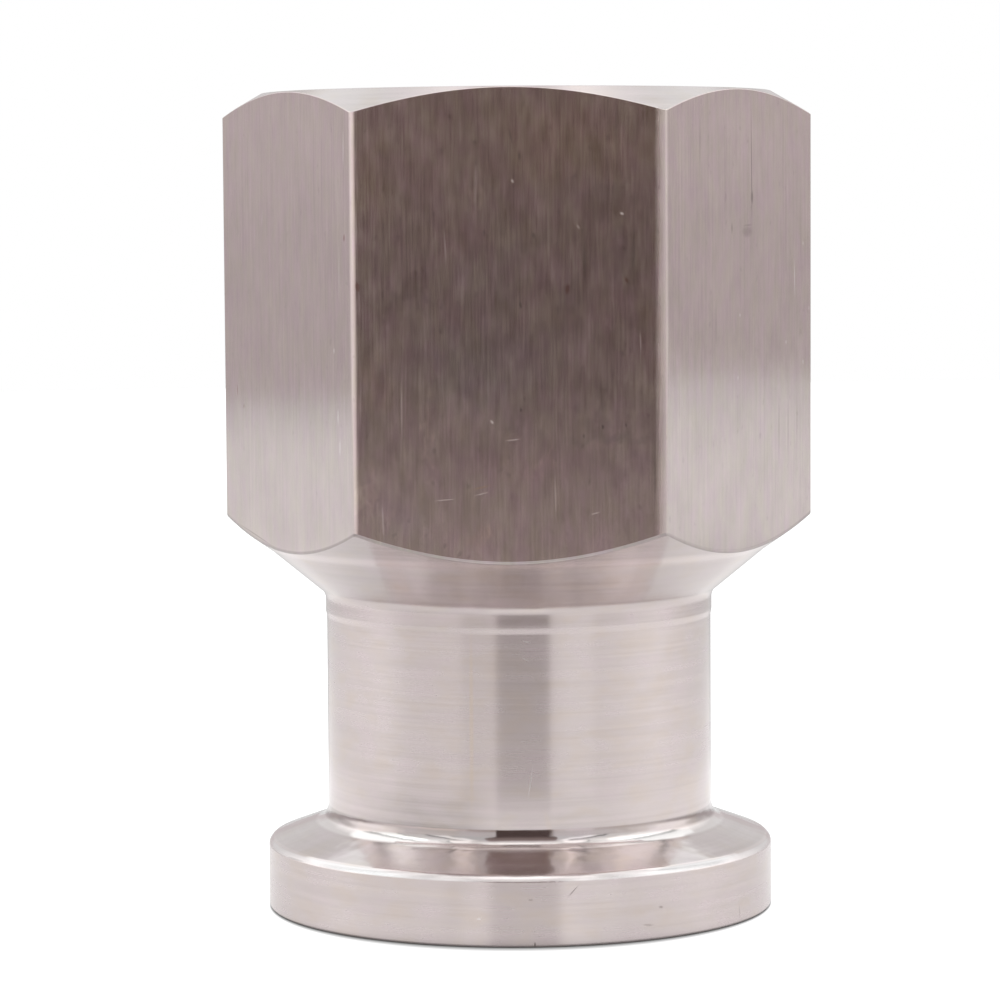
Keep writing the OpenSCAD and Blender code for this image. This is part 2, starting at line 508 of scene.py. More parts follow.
mesh = bpy.data.meshes.new("adapter")
mesh.from_pydata([(x * MM, y * MM, z * MM) for x, y, z in coords], [], faces)
mesh.polygons.foreach_set("material_index", np.array(slots, np.int32))
mesh.polygons.foreach_set("use_smooth", np.ones(len(faces), bool))
run = mesh.attributes.new("run", "FLOAT_VECTOR", "CORNER")
run.data.foreach_set("vector", np.array(corner_run, np.float32).ravel())
uv = mesh.uv_layers.new(name="OFBake")
uv.data.foreach_set("uv", np.array(corner_uv, np.float32).ravel())
assert not mesh.validate(), "the mesh had a fault"
mesh.normals_split_custom_set([tuple(float(c) for c in n) for n in corner_n])
mesh.update()
adapter = bpy.data.objects.new("adapter", mesh)
bpy.context.scene.collection.objects.link(adapter)

# ---------------------------------------------------------------------------
# Materials
# ---------------------------------------------------------------------------


class Web:
    """Short names for making shader nodes and the links between them."""

    def __init__(self, tree):
        self.tree = tree

    def put(self, socket, value):
        if isinstance(value, bpy.types.NodeSocket):
            self.tree.links.new(value, socket)
        elif isinstance(value, (tuple, list)) and len(value) == 3 and socket.type == "RGBA":
            socket.default_value = (*value, 1)
        else:
            socket.default_value = value

    def node(self, kind, inputs=(), **props):
        n = self.tree.nodes.new(kind)
        for k, v in props.items():
            setattr(n, k, v)
        for k, v in dict(inputs).items():
            self.put(n.inputs[k], v)
        return n

    def math(self, op, a, b=0.0, c=0.0):
        return self.node("ShaderNodeMath", {0: a, 1: b, 2: c}, operation=op).outputs[0]

    def add(self, a, b):
        return self.math("ADD", a, b)

    def sub(self, a, b):
        return self.math("SUBTRACT", a, b)

    def mul(self, *parts):
        out = parts[0]
        for p in parts[1:]:
            out = self.math("MULTIPLY", out, p)
        return out

    def sum(self, *parts):
        out = parts[0]
        for p in parts[1:]:
            out = self.math("ADD", out, p)
        return out

    def top(self, *parts):
        out = parts[0]
        for p in parts[1:]:
            out = self.math("MAXIMUM", out, p)
        return out

    def smooth(self, x, lo, hi, a=0.0, b=1.0):
        """a below lo, b above hi, and an S between."""
        return self.node(
            "ShaderNodeMapRange",
            {"Value": x, "From Min": lo, "From Max": hi, "To Min": a, "To Max": b},
            interpolation_type="SMOOTHSTEP",
        ).outputs["Result"]

    def ramp(self, x, lo, hi, a, b):
        return self.node(
            "ShaderNodeMapRange", {"Value": x, "From Min": lo, "From Max": hi, "To Min": a, "To Max": b}
        ).outputs["Result"]

    def stops(self, x, lo, hi, pairs):
        """Colours at given values of x, straight between them."""
        n = self.node("ShaderNodeValToRGB", {"Fac": self.ramp(x, lo, hi, 0.0, 1.0)})
        pairs = sorted((((v - lo) / (hi - lo)), c) for v, c in pairs)
        e = n.color_ramp.elements
        while len(e) < len(pairs):
            e.new(1.0)
        for i, (v, c) in enumerate(pairs):
            e[i].position = v
            e[i].color = (*c, 1) if isinstance(c, tuple) else (c, c, c, 1)
        return n.outputs[0]

    def window(self, x, lo, hi, soft):
        return self.mul(self.smooth(x, lo - soft, lo + soft), self.smooth(x, hi - soft, hi + soft, 1.0, 0.0))

    def mix(self, share, a, b):
        n = self.tree.nodes.new("ShaderNodeMix")
        n.data_type = "RGBA"
        self.put(n.inputs[0], share)
        self.put(n.inputs[6], a)
        self.put(n.inputs[7], b)
        return n.outputs[2]

    def tint(self, a, b, share=1.0):
        """Two colours multiplied."""
        n = self.tree.nodes.new("ShaderNodeMix")
        n.data_type = "RGBA"
        n.blend_type = "MULTIPLY"
        self.put(n.inputs[0], share)
        self.put(n.inputs[6], a)
        self.put(n.inputs[7], b)
        return n.outputs[2]

    def vec(self, x, y, z):
        return self.node("ShaderNodeCombineXYZ", {0: x, 1: y, 2: z}).outputs[0]

    def split(self, v):
        return self.node("ShaderNodeSeparateXYZ", {0: v}).outputs[:]

    def scale(self, v, s):
        n = self.node("ShaderNodeVectorMath", {0: v}, operation="MULTIPLY")
        n.inputs[1].default_value = s
        return n.outputs[0]

    def noise(self, v, scale, detail=2.0, rough=0.5, distortion=0.0):
        return self.node(
            "ShaderNodeTexNoise",
            {"Vector": v, "Scale": scale, "Detail": detail, "Roughness": rough, "Distortion": distortion},
        ).outputs[0]


def metal(name):
    m = bpy.data.materials.new(name)
    m.use_nodes = True
    w = Web(m.node_tree)
    b = m.node_tree.nodes["Principled BSDF"]
    b.inputs["Metallic"].default_value = 1
    return m, w, b


STEEL = (0.62, 0.55, 0.54)


def places(w):
    """Object place in millimetres, and the run along the perimeter and the section."""
    obj = w.scale(w.node("ShaderNodeTexCoord").outputs["Object"], (1000, 1000, 1000))
    run = w.node("ShaderNodeAttribute", attribute_name="run").outputs["Vector"]
    return obj, run


# Marks of use and handling: kind, its two ends in millimetres, half its width, its strength
MARKS = [
    ("dark", (4.36, -12.70, 24.67), (4.36, -12.70, 24.58), 0.07, 0.5),
    ("dark", (5.44, -12.70, 24.76), (5.44, -12.70, 24.67), 0.06, 0.45),
    ("dark", (3.48, -12.70, 24.25), (3.47, -12.70, 24.16), 0.06, 0.45),
    ("dark", (0.54, -12.70, 25.48), (0.54, -12.70, 25.39), 0.07, 0.4),
    ("dark", (-1.13, -12.70, 33.78), (-1.13, -12.70, 33.64), 0.06, 0.35),
    ("dark", (1.15, -12.70, 33.63), (1.19, -12.70, 33.49), 0.08, 0.3),
    ("dark", (0.52, -12.70, 37.38), (0.56, -12.70, 37.10), 0.07, 0.3),
    ("rust", (2.76, -12.70, 31.20), (2.72, -12.70, 30.92), 0.12, 0.5),
    ("rust", (5.46, -12.70, 31.51), (5.51, -12.70, 31.42), 0.09, 0.5),
    ("dark", (0.52, -12.70, 30.42), (0.57, -12.70, 30.24), 0.08, 0.4),
    ("rust", (-7.07, -12.70, 31.35), (-7.03, -12.70, 31.07), 0.12, 0.5),
    ("dark", (3.52, -12.70, 33.05), (3.55, -12.70, 31.34), 0.09, 0.25),
    ("dark", (5.84, -12.70, 33.69), (5.79, -12.70, 31.93), 0.1, 0.25),
    ("dark", (0.06, -12.70, 38.45), (0.20, -12.70, 37.89), 0.05, 0.25),
    ("dark", (-3.67, -12.70, 30.59), (-3.64, -12.70, 28.49), 0.1, 0.2),
    ("dark", (6.78, -12.70, 24.01), (6.78, -12.70, 21.20), 0.08, 0.25),
    ("light", (5.24, -12.70, 34.57), (5.33, -12.70, 34.53), 0.07, 0.55),
    ("light", (0.19, -12.70, 36.13), (0.23, -12.70, 36.04), 0.06, 0.5),
    ("light", (-0.86, -12.70, 24.93), (-0.77, -12.70, 24.83), 0.06, 0.5),
    ("light", (3.20, -12.70, 34.03), (3.33, -12.70, 33.84), 0.04, 0.35),
    ("gold", (-1.82, -12.70, 21.70), (-0.84, -12.70, 21.93), 0.045, 0.55),
    ("light", (-1.68, -12.70, 21.42), (-0.98, -12.70, 21.60), 0.03, 0.35),
    ("light", (-0.17, -12.70, 23.99), (0.49, -12.70, 24.08), 0.04, 0.4),
    ("light", (-3.51, -12.70, 21.19), (-2.57, -12.70, 21.28), 0.03, 0.4),
    ("light", (-1.48, -12.70, 36.98), (-1.54, -12.70, 34.89), 0.09, 0.16),
    ("light", (-5.05, -12.70, 26.86), (-5.03, -12.70, 24.06), 0.05, 0.2),
    ("light", (2.11, -12.70, 22.62), (2.15, -12.70, 20.28), 0.05, 0.2),
    ("light", (-2.99, -12.70, 33.84), (-2.91, -12.70, 32.35), 0.05, 0.18),
    ("light", (6.10, -12.70, 29.14), (6.15, -12.70, 28.11), 0.04, 0.25),
    ("light", (3.74, -12.70, 20.51), (4.21, -12.70, 20.65), 0.03, 0.35),
    ("light", (-5.99, -12.70, 21.01), (-5.91, -12.70, 19.37), 0.05, 0.2),
    ("light", (-8.30, -11.02, 28.26), (-8.31, -11.02, 28.07), 0.05, 0.6),
    ("light", (-8.12, -11.34, 25.40), (-8.12, -11.33, 24.74), 0.05, 0.7),
    ("light", (-8.02, -11.50, 23.99), (-8.03, -11.49, 23.28), 0.05, 0.7),
    ("light", (-7.70, -12.06, 38.46), (-7.72, -12.03, 36.84), 0.06, 0.35),
    ("light", (-7.98, -11.58, 33.25), (-8.01, -11.53, 30.58), 0.05, 0.3),
    ("rust", (-7.70, -12.06, 33.58), (-7.71, -12.05, 33.39), 0.09, 0.5),
    ("rust", (-13.89, -1.34, 26.21), (-13.84, -1.42, 25.52), 0.04, 0.5),
    ("rust", (-13.49, -2.04, 25.15), (-13.49, -2.04, 25.05), 0.05, 0.5),
    ("dark", (-13.93, -1.27, 19.23), (-11.80, -4.96, 18.35), 0.04, 0.3),
    ("light", (-12.29, -4.12, 34.78), (-12.30, -4.10, 34.01), 0.03, 0.3),
    ("dark", (-10.16, -7.80, 30.49), (-10.17, -7.78, 29.43), 0.05, 0.15),
    ("dark", (11.49, -5.50, 39.54), (11.53, -5.42, 33.97), 0.045, 0.42),
    ("dark", (11.54, -5.42, 35.51), (11.54, -5.42, 35.03), 0.13, 0.45),
    ("dark", (11.15, -6.10, 33.60), (11.42, -5.62, 33.60), 0.27, 0.2),
    ("dark", (11.12, -6.15, 33.90), (11.50, -5.48, 33.93), 0.06, 0.18),
    ("dark", (10.53, -7.17, 34.04), (10.53, -7.17, 33.56), 0.05, 0.45),
    ("light", (13.71, -1.65, 32.21), (13.76, -1.56, 30.33), 0.035, 0.5),
    ("light", (14.19, -0.83, 33.03), (14.19, -0.83, 32.93), 0.05, 0.5),
    ("light", (14.51, -0.27, 29.80), (14.51, -0.27, 29.70), 0.05, 0.5),
    ("light", (10.92, -6.49, 29.66), (10.92, -6.49, 29.57), 0.05, 0.5),
    ("light", (13.29, -2.39, 28.20), (13.29, -2.39, 28.10), 0.05, 0.5),
    ("light", (14.19, -0.83, 27.15), (14.19, -0.83, 27.05), 0.05, 0.5),
    ("light", (10.81, -6.67, 26.64), (10.81, -6.67, 26.55), 0.05, 0.5),
    ("dark", (13.60, -1.85, 18.73), (14.51, -0.27, 19.14), 0.04, 0.35),
    ("dark", (8.96, -9.88, 38.90), (8.96, -9.88, 36.56), 0.05, 0.18),
    ("dark", (12.92, -3.03, 25.53), (12.91, -3.03, 22.09), 0.07, 0.18),
    ("dark", (13.39, -2.21, 25.29), (13.39, -2.21, 22.33), 0.05, 0.2),
    ("dark", (13.87, -1.38, 25.54), (13.86, -1.39, 22.77), 0.05, 0.18),
    ("dark", (9.73, -8.55, 30.40), (9.72, -8.56, 28.26), 0.05, 0.15),
    ("light", (-0.38, -9.59, 13.95), (1.53, -9.48, 13.98), 0.02, 0.45),
    ("light", (-0.05, -9.60, 13.57), (1.29, -9.51, 13.60), 0.018, 0.4),
    ("light", (-0.62, -9.58, 13.18), (0.71, -9.57, 13.18), 0.018, 0.35),
    ("light", (-0.49, -9.59, 10.83), (1.65, -9.46, 10.85), 0.02, 0.35),
    ("light", (0.48, -9.59, 14.23), (0.81, -9.57, 14.14), 0.03, 0.5),
    ("light", (0.43, -9.59, 13.42), (0.76, -9.57, 13.27), 0.025, 0.4),
    ("light", (0.92, -9.56, 8.27), (0.68, -9.58, 6.63), 0.03, 0.4),
    ("light", (-4.03, -8.71, 11.30), (-2.08, -9.37, 11.43), 0.018, 0.25),
    ("light", (4.12, -8.67, 9.25), (6.53, -7.04, 9.16), 0.018, 0.25),
    ("dark", (-4.54, -8.46, 8.35), (-2.83, -9.17, 8.41), 0.02, 0.15),
    ("light", (-5.78, -7.67, 16.40), (-5.38, -7.95, 16.24), 0.03, 0.3),
    ("rust", (-8.32, -4.80, 15.43), (-7.99, -5.33, 14.99), 0.05, 0.25),
    ("gold", (-2.01, -9.39, 14.75), (-2.02, -9.38, 5.59), 0.12, 0.3),
    ("gold", (1.48, -9.48, 5.99), (1.81, -9.43, 4.72), 0.14, 0.14),
    ("dark", (-8.99, -3.78, 4.84), (-7.96, -5.62, 4.64), 0.16, 0.3),
    ("dark", (4.49, -8.66, 5.08), (5.83, -7.81, 4.84), 0.1, 0.22),
    ("dark", (8.28, -5.15, 4.75), (9.19, -3.25, 4.73), 0.14, 0.3),
    ("light", (-3.34, -9.16, 4.49), (-3.34, -9.16, 4.19), 0.03, 0.5),
    ("light", (-1.64, -12.49, 1.37), (-1.54, -12.51, 1.37), 0.06, 0.5),
    ("dark", (2.61, -12.33, 2.39), (3.09, -12.22, 2.90), 0.03, 0.55),
    ("dark", (1.05, -12.56, 0.24), (1.05, -12.56, -0.00), 0.05, 0.6),
    ("dark", (0.73, -12.58, 2.29), (0.97, -12.56, 2.29), 0.03, 0.35),
    ("dark", (6.20, -10.97, 0.80), (6.62, -10.72, 0.75), 0.06, 0.25),
    ("dark", (6.96, -10.50, 1.58), (7.06, -10.44, 1.56), 0.07, 0.35),
    ("dark", (10.83, -6.44, 0.97), (10.88, -6.36, 0.22), 0.03, 0.3),
    ("dark", (-11.21, -5.76, 3.18), (-10.29, -7.26, 3.19), 0.05, 0.3),
    ("light", (-5.59, -11.29, 1.67), (-2.02, -12.44, 1.41), 0.03, 0.25),
    ("light", (-2.02, -12.44, 1.41), (2.23, -12.40, 1.31), 0.03, 0.22),
    ("light", (4.59, -11.74, 1.37), (8.41, -9.39, 1.47), 0.02, 0.2),
    ("dark", (-8.91, -8.91, 2.31), (-6.77, -10.63, 2.08), 0.02, 0.15),
]


# Soft stains on the front flat: (tone, middle in mm across and up, half sizes, strength)
STAINS = [
    ("dark", (4.9, 24.1), (1.9, 0.55), 0.45), ("dark", (4.3, 25.6), (0.45, 1.4), 0.33), ("dark", (0.5, 24.9), (1.2, 0.5), 0.24),
    ("dark", (2.2, 28.5), (1.5, 0.8), 0.30), ("dark", (2.6, 30.7), (0.6, 0.8), 0.30), ("dark", (-4.1, 30.3), (0.4, 2.6), 0.30),
    ("dark", (-5.0, 30.8), (1.4, 0.5), 0.33), ("dark", (5.3, 32.6), (0.8, 2.2), 0.27), ("dark", (4.8, 35.4), (2.2, 0.7), 0.21),
    ("dark", (0.9, 33.0), (1.6, 0.8), 0.24), ("dark", (-2.6, 27.4), (1.6, 1.5), 0.21), ("dark", (-0.6, 30.2), (1.2, 1.0), 0.18),
    ("warm", (2.6, 37.8), (4.6, 2.4), 0.75), ("warm", (-6.4, 36.5), (0.9, 3.0), 0.60), ("warm", (6.6, 29.0), (0.9, 3.0), 0.52),
    ("warm", (-6.3, 26.8), (0.9, 1.6), 0.68), ("warm", (-1.1, 19.3), (0.7, 1.0), 0.60),
    ("cool", (-1.4, 27.4), (3.6, 2.6), 0.75), ("cool", (-1.0, 31.8), (3.0, 1.8), 0.45), ("cool", (-5.0, 20.4), (1.4, 1.8), 0.45),
    ("plum", (-4.6, 36.8), (1.6, 2.2), 0.60), ("plum", (-2.4, 33.2), (1.8, 1.6), 0.45), ("plum", (5.2, 30.5), (1.3, 1.6), 0.52),
    ("plum", (1.2, 22.6), (3.2, 1.4), 0.45), ("pale", (-3.9, 24.2), (0.25, 2.8), 0.52), ("pale", (-0.9, 19.4), (0.3, 1.2), 0.52),
    ("pale", (-6.5, 21.3), (0.3, 2.0), 0.60), ("pale", (-5.9, 19.6), (0.25, 1.4), 0.52), ("pale", (-1.6, 35.2), (0.3, 1.6), 0.45),
    ("pale", (1.5, 23.2), (0.2, 1.2), 0.38), ("pale", (-1.4, 25.6), (0.9, 0.7), 0.22),
]


def stains(w, obj, colour):
    """The colour with the soft stains in it."""
    tones = {"dark": (0.70, 0.72, 0.72), "warm": (1.02, 1.0, 0.92), "cool": (0.95, 1.0, 1.03), "plum": (1.02, 0.96, 1.0), "pale": (1.2, 1.2, 1.18)}
    for tone, middle, half, strength in STAINS:
        at = w.node(
            "ShaderNodeMapping",
            {"Vector": obj, "Location": (middle[0], -APOTHEM, middle[1]), "Scale": (half[0], 3.0, half[1])},
            vector_type="TEXTURE",
        ).outputs[0]
        d = w.node("ShaderNodeVectorMath", {0: at}, operation="LENGTH").outputs["Value"]
        colour = w.mix(w.smooth(d, 0.1, 1.25, strength, 0.0), colour, w.tint(colour, tones[tone]))
    return colour


def marks(w, obj, near):
    """Share of each kind of mark at a point. near says which marks this surface can have."""
    out = {}
    for kind, a, b, half, strength in MARKS:
        a, b = Vector(a), Vector(b)
        middle = (a + b) / 2
        if not near(middle):
            continue
        way = b - a
        turn_to = way.to_track_quat("X", "Z").to_euler() if way.length > 1e-6 else (0, 0, 0)
        at = w.node(
            "ShaderNodeMapping",
            {"Vector": obj, "Location": middle, "Rotation": turn_to, "Scale": (way.length / 2 + half, half, half)},
            vector_type="TEXTURE",
        ).outputs[0]
        d = w.node("ShaderNodeVectorMath", {0: at}, operation="LENGTH").outputs["Value"]
        mask = w.smooth(d, 0.35, 1.25, strength, 0.0)
        out[kind] = w.top(out[kind], mask) if kind in out else mask
    return out


def worn(w, colour, rough, found):
    """Colour and roughness with the marks on them."""
    if "dark" in found:
        colour = w.mix(found["dark"], colour, (0.08, 0.06, 0.05))
        rough = w.add(rough, w.mul(found["dark"], 0.05))
    if "rust" in found:
        colour = w.mix(found["rust"], colour, (0.26, 0.09, 0.06))
        rough = w.add(rough, w.mul(found["rust"], 0.03))
    if "gold" in found:
        colour = w.mix(found["gold"], colour, (0.70, 0.56, 0.42))
    if "light" in found:
        colour = w.mix(found["light"], colour, (0.95, 0.91, 0.90))
        rough = w.add(rough, w.mul(found["light"], 0.16))
    return colour, rough


def across(w):
    return w.node("ShaderNodeTangent", direction_type="RADIAL", axis="Z").outputs[0]


def drawn(name, near, blotchy, seed, soft_right=0.0, stained=False):
    m, w, b = metal(name)
    obj, run = places(w)
    s, along, u = w.split(run)
    x, y, z = w.split(obj)
    streak = w.noise(w.vec(w.mul(s, 5.0), w.mul(z, 0.13), seed), 1.0, 2.0, 0.6)
    fine = w.noise(w.vec(w.mul(s, 13.0), w.mul(z, 0.4), seed + 5), 1.0, 1.0, 0.5)
    blot = w.noise(w.vec(w.mul(s, 1.7), w.mul(z, 0.62), seed + 9), 1.0, 2.0, 0.5)
    wide = w.noise(w.vec(w.mul(s, 0.45), w.mul(z, 0.30), seed + 11), 1.0, 2.0, 0.6)
    speck = w.noise(w.vec(w.mul(s, 5.5), w.mul(z, 2.2), seed + 13), 1.0, 1.0, 0.5)
    hue = w.noise(w.vec(w.mul(s, 1.3), w.mul(z, 0.55), seed + 17), 1.0, 2.0, 0.5)
    shade = w.sum(
        1.0,
        w.ramp(streak, 0.25, 0.75, -0.037, 0.037),
        w.ramp(fine, 0.2, 0.8, -0.035 + 0.016 * blotchy, 0.035 - 0.016 * blotchy),
        w.ramp(blot, 0.25, 0.75, -0.045 * blotchy, 0.045 * blotchy),
        w.ramp(wide, 0.3, 0.7, -0.06 * blotchy, 0.06 * blotchy),
        w.ramp(speck, 0.2, 0.8, -0.02 * blotchy, 0.02 * blotchy),
    )
    pits = w.noise(w.vec(w.mul(s, 2.6), w.mul(z, 1.8), seed + 23), 1.0, 1.0, 0.5)
    lone = w.noise(w.vec(w.mul(s, 9.0), w.mul(z, 0.10), seed + 29), 1.0, 1.0, 0.5)
    shade = w.sum(
        shade,
        w.smooth(pits, 0.66, 0.78, 0.0, -0.12 * blotchy),
        w.smooth(lone, 0.62, 0.72, 0.0, 0.05),
        w.smooth(lone, 0.28, 0.38, -0.05, 0.0),
    )
    cast = w.stops(hue, 0.3, 0.7, [(0.3, (1.0, 1.0, 0.93)), (0.43, (1.0, 0.99, 0.955)), (0.57, (1.01, 0.965, 0.98)), (0.7, (1.01, 0.945, 1.0))])
    # The broken edge behind the flats is painted darker: painted shade over the bright line it reflects
    shade = w.mul(shade, w.smooth(along, 0.10, 0.2, 0.62, 1.0))
    colour = w.tint(w.tint(STEEL, cast, min(1.0, 0.35 + 0.65 * blotchy)), w.vec(shade, shade, shade))
    if stained:
        stray_x = w.noise(w.vec(w.mul(x, 0.8), w.mul(z, 0.5), seed + 41), 1.0, 2.0, 0.6)
        stray_z = w.noise(w.vec(w.mul(x, 0.8), w.mul(z, 0.5), seed + 47), 1.0, 2.0, 0.6)
        at = w.vec(w.add(x, w.ramp(stray_x, 0.2, 0.8, -1.2, 1.2)), y, w.add(z, w.ramp(stray_z, 0.2, 0.8, -1.2, 1.2)))
        colour = stains(w, at, colour)
    # The long edges are rubbed a little rougher, and their colour is painted lighter there: partly wear, partly a
    # painted highlight along the corners
    rub_and_sheen = w.mul(w.smooth(w.add(w.math("ABSOLUTE", u), w.ramp(fine, 0.2, 0.8, -0.12, 0.12)), 6.95, 7.25), 0.5)
    rough = w.sum(w.ramp(fine, 0.3, 0.7, 0.136, 0.158), w.ramp(blot, 0.3, 0.7, -0.012, 0.012), w.mul(rub_and_sheen, 0.12))
    if soft_right:
        rough = w.add(rough, w.smooth(u, 6.75, 7.15, 0.0, soft_right))
    colour = w.mix(w.mul(rub_and_sheen, 0.15), colour, (0.80, 0.76, 0.74))
    colour, rough = worn(w, colour, rough, marks(w, obj, near))
    w.put(b.inputs["Base Color"], colour)
    w.put(b.inputs["Roughness"], rough)
    b.inputs["Anisotropic"].default_value = 1.0
    w.put(b.inputs["Tangent"], across(w))
    height = w.sum(w.mul(streak, 0.6), w.mul(fine, 0.35), w.mul(speck, 0.15 * blotchy))
    bump = w.node("ShaderNodeBump", {"Height": height, "Strength": 0.2, "Distance": 0.00001})
    w.put(b.inputs["Normal"], bump.outputs[0])
    return m


def turned(name, near):
    m, w, b = metal(name)
    obj, run = places(w)
    x, y, z = w.split(obj)
    r = w.math("POWER", w.add(w.mul(x, x), w.mul(y, y)), 0.5)
    lines = w.noise(w.vec(w.mul(x, 0.05), w.mul(y, 0.05), w.mul(z, 6.5)), 1.0, 1.0, 0.6)
    broad = w.noise(w.vec(w.mul(x, 0.16), w.mul(y, 0.16), w.mul(z, 2.4)), 1.0, 2.0, 0.5)
    cloud = w.noise(w.vec(w.mul(x, 0.55), w.mul(y, 0.55), w.mul(z, 1.1)), 1.0, 2.0, 0.5)
    shade = w.sum(
        1.0,
        w.ramp(lines, 0.25, 0.75, -0.03, 0.03),
        w.ramp(broad, 0.25, 0.75, -0.025, 0.025),
        w.ramp(cloud, 0.25, 0.75, -0.025, 0.025),
        # Painted shade: the shoulder is a little darker from z 15.75 up
        w.smooth(z, 15.75, 16.0, 0.0, -0.05),
        # On the band: painted shade all round, and a painted highlight on its front middle
        w.mul(w.window(z, BAND_Z + BAND_RUN - 0.03, 15.42, 0.04), w.add(w.mul(w.window(x, -1.0, 1.6, 0.4), w.smooth(y, -5.0, -7.0), 0.13), -0.05)),
        # Painted highlight near the outer edge of the chamfer behind the head
        w.mul(w.window(r, 12.3, 12.85, 0.25), w.window(z, 16.5, 20.0, 0.3), 0.2),
        # Painted highlight: a thin lighter line just under the band
        w.mul(w.window(z, 14.52, 14.82, 0.05), 0.05),
        # Painted shade on the front of the shoulder and its chamfer, more on the left than the right
        w.mul(w.window(z, 15.87, 19.5, 0.12), w.smooth(y, -4.0, -7.0), w.sum(w.window(x, -8.3, -3.4, 1.2), w.mul(w.window(x, 5.0, 8.3, 1.2), 0.5)), -0.10),
    )
    cast = w.stops(cloud, 0.3, 0.7, [(0.3, (1.01, 0.995, 0.955)), (0.5, (1.0, 1.0, 1.0)), (0.7, (1.0, 0.985, 1.01))])
    # The fillet above the ferrule is painted darker, painted shade over its bright reflections, and the ferrule's edge
    # gets a thin painted highlight
    shade = w.sum(shade, w.mul(w.window(z, 4.62, 5.12, 0.06), -0.26),
                  w.mul(w.window(z, 3.42, 3.49, 0.03), 0.15))
    colour = w.tint(w.tint(STEEL, cast), w.vec(shade, shade, shade))
    # The ferrule's rounded edge is painted lighter: a painted highlight along it
    colour = w.mix(w.window(z, 3.15, 3.42, 0.05), colour, (0.77, 0.72, 0.715))
    # The lower part of the fillet above the ferrule is painted lighter: a painted highlight
    colour = w.mix(w.mul(w.window(z, 4.25, 4.56, 0.05), 0.8), colour, (0.84, 0.785, 0.77))
    # The ferrule's back cone and the fillet above it are nearly polished
    bright = w.window(z, 3.30, 5.3, 0.10)
    # and the finish gets finer towards them and on the shoulder
    finer = w.mul(w.smooth(z, 5.6, 8.0, 1.0, 0.0), w.smooth(z, 5.1, 5.5))
    shoulder = w.smooth(z, 15.6, 16.0)
    rough = w.sum(
        0.26,
        w.mul(bright, -0.165),
        w.mul(finer, -0.155),
        w.mul(shoulder, -0.07),
        w.ramp(lines, 0.3, 0.7, -0.015, 0.015),
        w.ramp(cloud, 0.3, 0.7, -0.015, 0.015),
    )
    colour, rough = worn(w, colour, rough, marks(w, obj, near))
    w.put(b.inputs["Base Color"], colour)
    w.put(b.inputs["Roughness"], rough)
    b.inputs["Anisotropic"].default_value = 1.0
    b.inputs["Anisotropic Rotation"].default_value = 0.25
    w.put(b.inputs["Tangent"], across(w))
    ripple = w.noise(w.vec(w.mul(x, 0.9), w.mul(y, 0.9), w.mul(z, 0.5)), 1.0, 1.0, 0.5)
    wave = w.node("ShaderNodeBump", {"Height": ripple, "Strength": w.mul(bright, 0.9), "Distance": 0.00003})
    bump = w.node("ShaderNodeBump", {"Height": lines, "Strength": 0.12, "Distance": 0.00001, "Normal": wave.outputs[0]})
    w.put(b.inputs["Normal"], bump.outputs[0])
    return m


def faced():
    """Faced flat in the lathe: fine rings round the axis."""
    m, w, b = metal("steel_faced")
    obj, run = places(w)
    x, y, z = w.split(obj)
    r = w.math("POWER", w.add(w.mul(x, x), w.mul(y, y)), 0.5)
    rings = w.noise(w.vec(w.mul(x, 0.05), w.mul(y, 0.05), w.mul(r, 7.5)), 1.0, 1.0, 0.6)
    broad = w.noise(w.vec(w.mul(x, 0.12), w.mul(y, 0.12), w.mul(r, 2.5)), 1.0, 2.0, 0.5)
    cloud = w.noise(w.scale(obj, (0.5, 0.5, 0.5)), 1.0, 3.0, 0.55)
    shade = w.sum(1.0, w.ramp(rings, 0.25, 0.75, -0.06, 0.06), w.ramp(broad, 0.25, 0.75, -0.05, 0.05), w.ramp(cloud, 0.25, 0.75, -0.04, 0.04))
    w.put(b.inputs["Base Color"], w.tint((0.70, 0.66, 0.65), w.vec(shade, shade, shade)))
    w.put(b.inputs["Roughness"], w.sum(0.19, w.ramp(rings, 0.3, 0.7, -0.03, 0.03), w.ramp(cloud, 0.3, 0.7, -0.02, 0.02)))
    b.inputs["Anisotropic"].default_value = 1.0
    b.inputs["Anisotropic Rotation"].default_value = 0.25
    w.put(b.inputs["Tangent"], across(w))
    bump = w.node("ShaderNodeBump", {"Height": rings, "Strength": 0.35, "Distance": 0.00001})
    w.put(b.inputs["Normal"], bump.outputs[0])
    return m


def bored():
    """Thread and bore: cut a little rougher, with darker roots."""
    m, w, b = metal("steel_bored")
    obj, run = places(w)
    x, y, z = w.split(obj)
    r = w.math("POWER", w.add(w.mul(x, x), w.mul(y, y)), 0.5)
    around = w.noise(w.vec(w.mul(x, 0.2), w.mul(y, 0.2), w.mul(z, 5.0)), 1.0, 1.0, 0.6)
    cloud = w.noise(w.scale(obj, (0.6, 0.6, 0.6)), 1.0, 3.0, 0.55)
    shade = w.sum(1.0, w.ramp(around, 0.25, 0.75, -0.08, 0.08), w.ramp(cloud, 0.25, 0.75, -0.06, 0.06))
    root = w.mul(w.smooth(r, MINOR_R + 0.35, MAJOR_R), w.smooth(z, FLOOR_Z, FLOOR_Z + 0.5))
    colour = w.mix(w.mul(root, 0.45), w.tint(STEEL, w.vec(shade, shade, shade)), (0.34, 0.30, 0.28))
    w.put(b.inputs["Base Color"], colour)
    w.put(b.inputs["Roughness"], w.sum(0.28, w.ramp(around, 0.3, 0.7, -0.03, 0.03), w.mul(root, 0.12)))
    bump = w.node("ShaderNodeBump", {"Height": around, "Strength": 0.4, "Distance": 0.00001})
    w.put(b.inputs["Normal"], bump.outputs[0])
    return m


